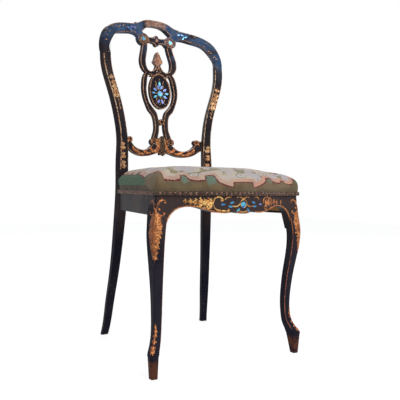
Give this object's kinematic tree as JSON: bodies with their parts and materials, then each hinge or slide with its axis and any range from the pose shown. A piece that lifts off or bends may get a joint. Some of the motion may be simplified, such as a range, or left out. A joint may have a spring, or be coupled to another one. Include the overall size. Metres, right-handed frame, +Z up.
{
  "type": "side chair",
  "caption": "Armless side chair: raked open back with pierced strapwork splat and oval plaque, stuffed needlepoint seat with domed nails, cabriole front legs and swept rear legs.",
  "frame": {"origin": "on the floor, under the middle of the chair's bounding box", "axes": "+Z up, -Y to the front where a sitter faces, +X to the right as seen from the front"},
  "size_m": [0.4074, 0.4704, 0.8787],
  "materials": {
    "lacquer": "glossy aged black lacquer on wood",
    "gilt_carving": "gilded carving, worn",
    "pearl": "mother-of-pearl slips, iridescent",
    "dowel_wood": "bare turned hardwood",
    "block_wood": "bare sawn hardwood",
    "screw_steel": "aged steel",
    "jute": "woven jute webbing",
    "tack_steel": "blued steel tacks",
    "hessian_cloth": "open plain-weave canvas",
    "horsehair": "curled hair stuffing",
    "needlepoint": "wool needlepoint on canvas",
    "gimp_braid": "woven braid",
    "nail_brass": "domed, brown-patinated brass heads"
  },
  "bodies": {
    "root": {"rear_post_right": "lacquer", "rear_post_left": "lacquer", "crest_rail": "lacquer", "splat_top_bar": "lacquer", "splat_rosette": "gilt_carving", "splat_frame": "lacquer", "splat_leaf": "gilt_carving", "splat_medallion": "lacquer", "splat_boss": "lacquer", "lower_back_rail": "lacquer", "rail_shell": "lacquer", "front_rail": "lacquer", "side_rail_right": "lacquer", "side_rail_left": "lacquer", "rear_rail": "lacquer", "front_leg_right": "lacquer", "front_leg_left": "lacquer", "corner_block_front_right": "block_wood", "corner_block_front_left": "block_wood", "corner_block_rear_right": "block_wood", "corner_block_rear_left": "block_wood", "block_screws": "screw_steel", "crest_dowels": "dowel_wood", "splat_dowels": "dowel_wood", "medallion_pins": "dowel_wood", "crest_slips": "pearl", "medallion_slips": "pearl", "apron_slips": "pearl", "webbing_long": "jute", "webbing_cross": "jute", "webbing_tacks": "tack_steel", "hessian": "hessian_cloth", "seat_stuffing": "horsehair", "seat_cover": "needlepoint", "seat_gimp": "gimp_braid", "nails_front": "nail_brass", "nails_right": "nail_brass", "nails_left": "nail_brass", "nails_rear": "nail_brass"}
  },
  "joints": []
}
